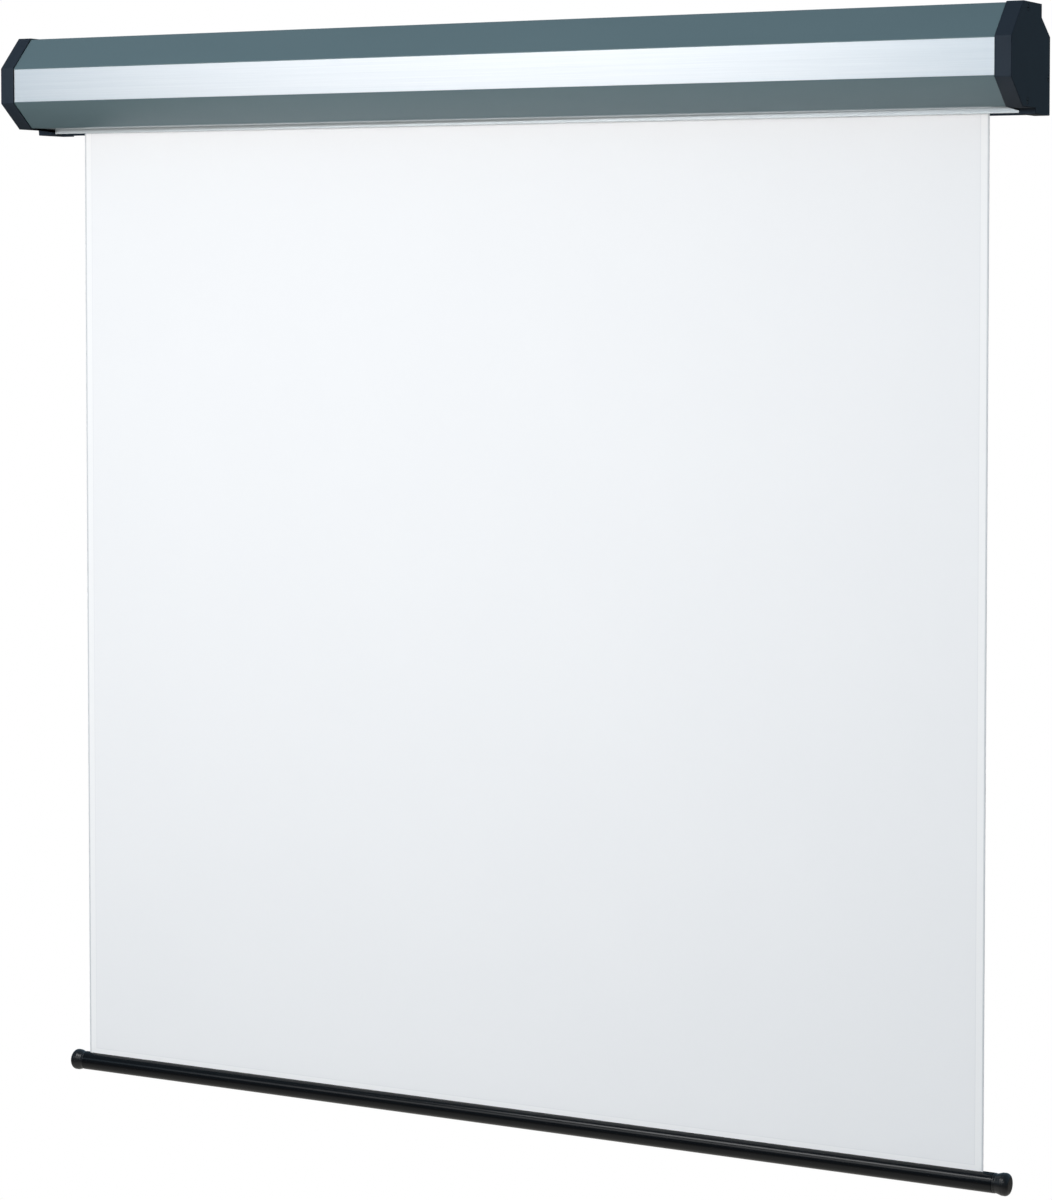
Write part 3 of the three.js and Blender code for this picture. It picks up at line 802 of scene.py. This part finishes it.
def from_middle(node):
    """The way from the screen's middle to the end that a node sits at."""
    return Vector((1 if "right" in node else -1, 0, 0))


screw_set("cap_screws", "cap_screw", from_middle)
screw_set("plate_screws", "plate_screw", lambda node: -from_middle(node))
screw_set("lip_screws", "lip_screw", lambda node: Vector((0, 0, -1)))

# %% [markdown]
# ## The spring
# The roller is wound back by a long torsion spring, close coiled from round wire. It is a
# spiral of constant radius with a circle swept along it, which a geometry tree does in a few
# nodes. The working model has a plain sleeve in its place, and the coil fills that sleeve.

# %% Torsion spring
spring_wire = 2.5 * mm
spring_gap = 0.12 * mm
spring_steps = 24
wire_sides = 7


def lying(node):
    """The ends, the axis and the radius of a round solid along the screen."""
    low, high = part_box(node)
    return low.x, high.x, (low + high) / 2, (high.y - low.y) / 2


spring_start, spring_end, spring_axis, spring_outer = lying("torsion_spring")
spring_run = spring_end - spring_start - spring_wire
spring_turns = float(int(spring_run / (spring_wire + spring_gap)))
spring_sizes = {
    "Coil radius": spring_outer - spring_wire / 2,
    "Wire radius": spring_wire / 2,
    "Run": spring_run,
}


def spring_recipe():
    """A close coil of round wire, turned from the Z axis to lie along the roller."""
    spring = Recipe("spring", spring_sizes)
    radius, run = spring.given("Coil radius"), spring.given("Run")
    path = spring.spiral(spring_steps, spring_turns, radius, run)
    wire = spring.swept(path, wire_sides, spring.given("Wire radius"))
    start = (spring_start + spring_wire / 2, spring_axis.y, spring_axis.z)
    return spring.finished(spring.moved(wire, start, (0.0, quarter_turn, 0.0)))


empty = bpy.data.meshes.new("spring_coil")
coil = spring_recipe().cooked("spring_coil", empty, spring_sizes, ["torsion_spring"])
dressed(coil, "torsion_spring")
print("the spring has", int(spring_turns), "turns")

# %% [markdown]
# ## The bottom bar
# The bar is a drawn tube with a narrow slot along its top, painted gloss black. The sheet's
# hem goes down through the slot and round a nylon rod that is too thick to come out. A section
# made of two arcs and two rounded lips is drawn out along the screen.

# %% The bar's section
bar_wall = 1.5 * mm
bar_slot = 2.6 * mm
lip_round = 0.35 * mm
bar_steps = 80
bar_low, bar_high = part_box("bar_tube")
knob_low, knob_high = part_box("bar_knob_left")
bar_axis = Vector((0, (knob_low.y + knob_high.y) / 2, (knob_low.z + knob_high.z) / 2))
bar_radius = bar_axis.z - bar_low.z


def open_arc(radius):
    """Points round the bar's section from one lip of the slot to the other, by the way below."""
    gap = math.asin((bar_slot / 2 + lip_round) / radius)
    angles = [gap + (full_turn - 2 * gap) * step / bar_steps for step in range(bar_steps + 1)]
    return [(radius * math.sin(angle), radius * math.cos(angle)) for angle in angles]


def bar_section():
    """The tube's outline across the screen: outside, one lip, inside and the other lip."""
    inner = bar_radius - bar_wall
    half = bar_slot / 2
    top = math.sqrt((bar_radius - lip_round) ** 2 - half**2)
    bottom = math.sqrt((inner + lip_round) ** 2 - half**2)
    lips = [(-half, top), (-half, bottom)], [(half, bottom), (half, top)]
    return [*open_arc(bar_radius), *lips[0], *reversed(open_arc(inner)), *lips[1]]


print(f"the bar is {2 * bar_radius / mm:.1f} mm across")


# %% Slotted tube
def drawn_shape(section, start, end, axis):
    """A solid of even section between two stations along the screen."""
    shape = bmesh.new()
    first, second = (
        [shape.verts.new((station, axis.y + y, axis.z + z)) for y, z in section]
        for station in (start, end)
    )
    for i in range(len(section)):
        after = (i + 1) % len(section)
        shape.faces.new((first[i], first[after], second[after], second[i]))
    shape.faces.new(first)
    shape.faces.new(second)
    return shape


tube_shape = drawn_shape(bar_section(), bar_low.x, bar_high.x, bar_axis)
dressed(shown("bar_painted_tube", tube_shape), "bar_tube")


# %% [markdown]
# ## Knobs and rod
# A moulded knob is pushed into each end of the bar, with a collar, a slight neck and a round
# end. Knobs and rod are bodies of revolution: a profile of stations and radii, rounded at its
# corners, is turned about the bar's own axis. Both profiles start and end on the axis, so they
# close by themselves.

# %% A lathe
ease_steps = 4
ease_share = 0.45


def ring(shape, station, radius, axis, count):
    """A ring of points about an axis, or a single point where the radius is nothing."""
    angles = [full_turn * step / count for step in range(count)] if radius > 0 else [0]
    across = [(radius * math.cos(angle), radius * math.sin(angle)) for angle in angles]
    return [shape.verts.new((station, axis.y + y, axis.z + z)) for y, z in across]


def turned_shape(profile, axis, count):
    """A solid turned about an axis from a profile of stations along it and radii."""
    shape = bmesh.new()
    rings = [ring(shape, station, radius, axis, count) for station, radius in profile]
    for first, second in zip(rings, rings[1:]):
        for step in range(count):
            after = step + 1
            corners = [first[step % len(first)], first[after % len(first)]]
            corners += [second[after % len(second)], second[step % len(second)]]
            shape.faces.new(list(dict.fromkeys(corners)))
    return shape


def eased(points, radius):
    """Rounds the corners of a run of points, and keeps its two ends."""
    run = [Vector(point) for point in points]
    result = [points[0]]
    for before, here, after in zip(run, run[1:], run[2:]):
        into, out = before - here, after - here
        reach = min(radius, ease_share * into.length, ease_share * out.length)
        start, end = here + into.normalized() * reach, here + out.normalized() * reach
        for step in range(ease_steps + 1):
            share = step / ease_steps
            mixed = start * (1 - share) ** 2 + here * 2 * share * (1 - share) + end * share**2
            result.append(tuple(mixed))
    return [*result, points[-1]]


# %% Knobs
collar_length = 2.0 * mm
neck_length = 2.0 * mm
flare_length = 7.0 * mm
belly_length = 3.0 * mm
end_round = 6.0 * mm
spigot_length = 16.0 * mm
neck_cut = 0.55 * mm
seat_gap = 0.3 * mm
parting_depth = 0.12 * mm
moulded_round = 0.6 * mm
dome_steps = 14
knob_sides = 96


def knob_profile(tip):
    """Stations from the bar's middle and radii of a knob, from its spigot out to its tip."""
    belly = (knob_high.z - knob_low.z) / 2
    dome = tip - end_round
    flare = dome - belly_length
    neck = flare - flare_length
    collar = neck - neck_length
    face = collar - collar_length + seat_gap
    spigot_radius = bar_radius - bar_wall - seat_gap
    body = [
        (face - spigot_length, 0),
        (face - spigot_length, spigot_radius),
        (face, spigot_radius),
        (face, bar_radius),
        (collar, bar_radius),
        (neck, bar_radius - neck_cut),
        (flare, belly),
        (flare + belly_length / 2, belly - parting_depth),
        (dome, belly),
    ]
    angles = [quarter_turn * step / dome_steps for step in range(1, dome_steps)]
    end = [
        (dome + end_round * math.sin(angle), belly - end_round * (1 - math.cos(angle)))
        for angle in angles
    ]
    return [*eased(body, moulded_round), *end, (tip, belly - end_round), (tip, 0)]


for side, way in (("left", -1), ("right", 1)):
    tip = max(abs(corner.x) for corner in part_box(f"bar_knob_{side}"))
    profile = [(way * station, radius) for station, radius in knob_profile(tip)]
    knob_shape = turned_shape(profile, bar_axis, knob_sides)
    dressed(shown(f"bar_end_{side}", knob_shape), f"bar_knob_{side}")

# %% Hem rod
cloth_layer = 0.36 * mm
rod_clearance = 0.04 * mm
rod_round = 1.0 * mm
rod_sides = 40
rod_start, rod_end, rod_axis, rod_outer = lying("bar_spline")
rod_radius = rod_outer - cloth_layer - rod_clearance
rod_profile = [(rod_start, 0), (rod_start, rod_radius), (rod_end, rod_radius), (rod_end, 0)]
rod_shape = turned_shape(eased(rod_profile, rod_round), rod_axis, rod_sides)
dressed(shown("hem_rod", rod_shape), "bar_spline")


# %% [markdown]
# ## The sheet
# A screen's sheet hangs flat, pulled straight by the bar's weight, yet it is never a perfect
# plane: faint upright waves run down it, and they die out at the roller and at the bar, where it
# is held straight. One function makes any length of it as a thin closed grid with a front and a
# back, from a rule that says where each point of the flat cloth goes. Its UV map is the flat
# cloth in metres.

# %% Cloth from a rule
def cloth_shape(stations, rows, place, run):
    """A thin closed sheet. place(x, share, side) is a point on its front or back, and run(share)
    is how far down the flat cloth that point lies."""
    shape = bmesh.new()
    uv = shape.loops.layers.uv.new("cloth")
    flat = {}

    def line(row, side):
        made = [shape.verts.new(place(x, row / rows, side)) for x in stations]
        flat.update({vert: (x, run(row / rows)) for vert, x in zip(made, stations)})
        return made

    layers = [[line(row, side) for row in range(rows + 1)] for side in (-1, 1)]
    strips = [(lines[row], lines[row + 1]) for lines in layers for row in range(rows)]
    strips += [(layers[0][row], layers[1][row]) for row in (0, rows)]
    for first, second in strips:
        for i in range(len(stations) - 1):
            shape.faces.new((first[i], first[i + 1], second[i + 1], second[i]))
    for edge in (0, -1):
        for row in range(rows):
            front, back = ((lines[row][edge], lines[row + 1][edge]) for lines in layers)
            shape.faces.new((*front, *reversed(back)))
    for face in shape.faces:
        for loop in face.loops:
            loop[uv].uv = flat[loop.vert]
    return shape


# %% [markdown]
# The hanging length is a fine grid, with a narrow column at the inner edge of each side band,
# where the doubled cloth ends. The second layer lies on the back, so the front stays one smooth
# surface, as a screen's has to.

# %% Columns and waves
hem_layer = 0.25 * mm
hem_step = 0.4 * mm
wave_depth = 0.6 * mm
wave_lengths = (0.43, 0.29)
wave_shares = (0.6, 0.4)
wave_phase = 0.6
wave_hold = 0.7
sheet_columns = 110
sheet_rows = 110


def sheet_stations():
    """Places across the sheet: even columns, and a pair at the inner edge of each side band."""
    inner = sheet_half - hem_width
    pairs = [way * (inner - shift) for way in (-1, 1) for shift in (0, hem_step)]
    even = [sheet_half * (2 * i / sheet_columns - 1) for i in range(sheet_columns + 1)]
    clear = [x for x in even if min(abs(x - pair) for pair in pairs) > 2 * hem_step]
    return sorted(clear + pairs)


def wave(x, share):
    """How far the cloth stands off its plane, at a place across it and a share of the way down."""
    held = math.sin(math.pi * share) ** wave_hold if 0 < share < 1 else 0
    swings = [math.sin(full_turn * x / length + wave_phase) for length in wave_lengths]
    return wave_depth * held * sum(part * swing for part, swing in zip(wave_shares, swings))


print("columns of the sheet:", len(sheet_stations()) - 1)

# %% Hanging sheet
sheet_plane = (sheet_low.y + sheet_high.y) / 2
sheet_thickness = sheet_high.y - sheet_low.y
sheet_drop = sheet_high.z - sheet_low.z


def fallen(share):
    """The height of the hanging cloth, a share of the way down."""
    return sheet_high.z - sheet_drop * share


def hanging(x, share, side):
    """A point of the hanging cloth, which is thicker at its back on the side bands."""
    doubled = hem_layer if side > 0 and abs(x) > sheet_half - hem_width - hem_step / 2 else 0
    y = sheet_plane + side * sheet_thickness / 2 + doubled + wave(x, share)
    return x, y, fallen(share)


sheet_shape = cloth_shape(sheet_stations(), sheet_rows, hanging, fallen)
sheet = dressed(shown("screen_sheet", sheet_shape), "screen_fabric")

# %% [markdown]
# The sheet's end goes round the rod in the bar, and its start is wound on the roller. The wound
# turns open slowly outward, and they end where the sheet leaves the roller at its rear side.

# %% Loop round the rod
loop_steps = 48
loop_gap_angle = math.radians(8)
loop_angle = full_turn - 2 * loop_gap_angle
loop_radius = rod_outer - cloth_layer / 2
loop_length = loop_angle * loop_radius
across = [-sheet_half, -sheet_half / 2, 0, sheet_half / 2, sheet_half]


def looped(x, share, side):
    """A point of the cloth round the rod, which starts and ends near the bar's slot."""
    angle = loop_gap_angle + share * loop_angle
    radius = loop_radius + side * cloth_layer / 2
    return x, rod_axis.y + radius * math.sin(angle), rod_axis.z + radius * math.cos(angle)


round_rod = [rod_start, *across[1:-1], rod_end]
loop_shape = cloth_shape(
    round_rod, loop_steps, looped, lambda share: sheet_low.z - loop_length * share
)
hem_loop = shown("hem_loop", loop_shape)
hem_loop.data.materials.append(finishes["screen_fabric"])
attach(hem_loop, "bottom_bar")
print(f"round the rod: {loop_length / mm:.0f} mm of cloth")

# %% Turns on the roller
wound_turns = 1.75
wound_steps = 150
wound_axis, wound_radius = lying("fabric_wrap")[2:]
wound_outer = wound_radius - cloth_layer / 2
wound_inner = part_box("roller_tube")[1].y - wound_axis.y + seat_gap + cloth_layer / 2
wound_length = full_turn * wound_turns * (wound_inner + wound_outer) / 2


def wound(x, share, side):
    """A point of the cloth on the roller, which winds from the inside out."""
    angle = full_turn * wound_turns * (1 - share)
    radius = wound_inner + (wound_outer - wound_inner) * share + side * cloth_layer / 2
    return x, wound_axis.y + radius * math.cos(angle), wound_axis.z + radius * math.sin(angle)


wound_shape = cloth_shape(
    across, wound_steps, wound, lambda share: sheet_high.z + wound_length * (1 - share)
)
roll = dressed(shown("sheet_roll", wound_shape), "fabric_wrap")
print(f"wound on the roller: {wound_length / mm:.0f} mm of cloth")

# %% [markdown]
# ## The bar's travel
# As the bar rises, the real sheet winds onto the roller. Here the bar's travel is only read
# from the record's joint, and the sheet gets a mesh of its own.

# %% The bar's travel
bar_slide = next(joint for joint in frame["joints"] if joint["name"] == "bar_slide")
bar_travel = bar_slide["range_m"][1]
(sheet_drop - bar_travel) / sheet_drop
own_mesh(sheet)
print(f"the sheet goes up by {bar_travel / mm:.0f} of its {sheet_drop / mm:.0f} mm")

# %% [markdown]
# ## The studio
# The screen stands before a white ground with no shadow. To the camera, floor and surroundings
# are plain white. Light that falls on the pieces comes from a soft room, a wide key light in
# front and a weaker one behind. What glossy pieces mirror is set apart from that, as a
# photographer does with black cloth and white cards: a dim room keeps the bar black, a pool of
# light on the floor draws its warm lower edge, and white cards with dim blue ones beside them
# give the bright plate something to shine with. From below, the floor is clear.

# %% The room
white = (1.0, 1.0, 1.0, 1.0)
seen_light = 1.0
room_colour = (0.70, 0.86, 0.99, 1.0)
mirrored_colour = (0.52, 0.78, 1.0, 1.0)
# Each pair is the light from behind and from before the screen.
room_light = (0.29, 0.455)
mirrored_light = (0.48, 0.10)


def either(graph, share, first, second):
    """One shader where the share is 0, and another where it is 1."""
    return graph.node("ShaderNodeMixShader", {0: share, 1: first, 2: second})


def by_ray(graph, plain, mirrored, seen):
    """Mixes three shaders: one for most rays, one for mirrored rays and one for the camera."""
    glossy = graph.node("ShaderNodeLightPath", out="Is Glossy Ray")
    camera_ray = graph.node("ShaderNodeLightPath", out="Is Camera Ray")
    return either(graph, camera_ray, either(graph, glossy, plain, mirrored), seen)


def room():
    """Light all round, which changes slowly from the wall's side to the viewer's."""
    world = bpy.data.worlds.new("studio_room")
    world.use_nodes = True
    sky = Graph(world.node_tree)
    sky.tree.nodes.clear()
    way = sky.node("ShaderNodeTexCoord", out="Generated")
    front = 0.5 - 0.5 * sky.axis("Y", way)
    shades = []
    for colour, light in (
        (room_colour, room_light),
        (mirrored_colour, mirrored_light),
        (white, (seen_light, seen_light)),
    ):
        inputs = {"Color": colour, "Strength": front.spread(*light)}
        shades.append(sky.node("ShaderNodeBackground", inputs))
    sky.node("ShaderNodeOutputWorld", {"Surface": by_ray(sky, *shades)})
    return world


scene.world = room()
scene.view_settings.view_transform = "Standard"
print("the room's tree has", len(scene.world.node_tree.nodes), "nodes")

# %% The floor
floor_height = -1.9
floor_radius = 30.0
floor_sides = 64
floor_colours = ((0.28, 0.275, 0.26), (0.26, 0.255, 0.24))
floor_cloud_size = 0.4
pool_colour = (1.0, 0.985, 0.93, 1.0)
pool_radius = 1.3
pool_light = (0.10, 0.66)


def floor_finish():
    """A matt floor that mirrors as a pool of light, and is clear from below."""
    floor = Finish("studio_floor")
    pale = floor.tint(*floor_colours, floor.noise(floor_cloud_size))
    matt = floor.node("ShaderNodeBsdfDiffuse", {"Color": pale})
    distance = floor.node("ShaderNodeVectorMath", {0: floor.place}, "Value", operation="LENGTH")
    reach = 1 - ((distance + floor_height) / pool_radius).clamped()
    inputs = {"Color": pool_colour, "Strength": reach.spread(*pool_light)}
    pool = floor.node("ShaderNodeEmission", inputs)
    seen = floor.node("ShaderNodeEmission", {"Color": white, "Strength": seen_light})
    above = by_ray(floor, matt, pool, seen)
    below = floor.node("ShaderNodeBsdfTransparent")
    under = floor.node("ShaderNodeNewGeometry", out="Backfacing")
    floor.node("ShaderNodeOutputMaterial", {"Surface": either(floor, under, above, below)})
    return floor.material


floor_shape = bmesh.new()
bmesh.ops.create_circle(floor_shape, cap_ends=True, segments=floor_sides, radius=floor_radius)
for vertex in floor_shape.verts:
    vertex.co.z = floor_height
floor = shown("studio_floor", floor_shape)
if floor.data.polygons[0].normal.z < 0:
    floor.data.flip_normals()
floor.data.materials.append(floor_finish())
print("the floor lies at", floor_height, "m")


# %% Soft boxes
def soft_box(name, place, aim, size, radiance, colour, mirrored):
    """A flat light of an even radiance, either for shading alone or for reflections alone."""
    data = bpy.data.lights.new(name, "AREA")
    data.shape = "RECTANGLE"
    data.size, data.size_y = size
    data.energy = radiance * math.pi * size[0] * size[1]
    data.color = colour[:3]
    light = placed(name, data)
    light.location = place
    light.rotation_euler = (Vector(aim) - Vector(place)).to_track_quat("-Z", "Y").to_euler()
    light.visible_diffuse = not mirrored
    light.visible_glossy = mirrored
    light.visible_camera = False
    print(f"{name}: {data.energy:.1f} W")


# %% Lights and cards
key_colour = (1.0, 0.975, 0.955)
card_blue = (0.5, 0.8, 1.0)
card_y = -2.6
card_z = 0.45
card_height = 1.1
# Each light that only shades: its name, place, aim, size, radiance and colour.
shading_lights = (
    ("key", (-0.35, -2.8, -0.04), (-0.35, 0, -0.3), (2.7, 0.7), 12.9, key_colour),
    ("back_fill", (0, 2.6, -0.55), (0, 0, -0.6), (1.3, 1.0), 8.0, white),
)
# Each card that the plate mirrors: its name, place along X, width, radiance and colour.
plate_cards = (
    ("left_card", -1.38, 1.98, 1.66, white),
    ("right_card", 1.0, 1.6, 1.3, white),
    ("end_card", -2.9, 1.0, 0.6, card_blue),
    ("gap_card", -0.1, 0.58, 0.6, card_blue),
)
bar_card = ("bar_card", (-0.75, -1.6, 1.1), (0.1, 0, -1.29), (1.3, 0.6), 6.5, white)

for row in shading_lights:
    soft_box(*row, mirrored=False)
for name, x, width, radiance, colour in plate_cards:
    place, aim = (x, card_y, card_z), (x, 0, card_z)
    soft_box(name, place, aim, (width, card_height), radiance, colour, mirrored=True)
soft_box(*bar_card, mirrored=True)
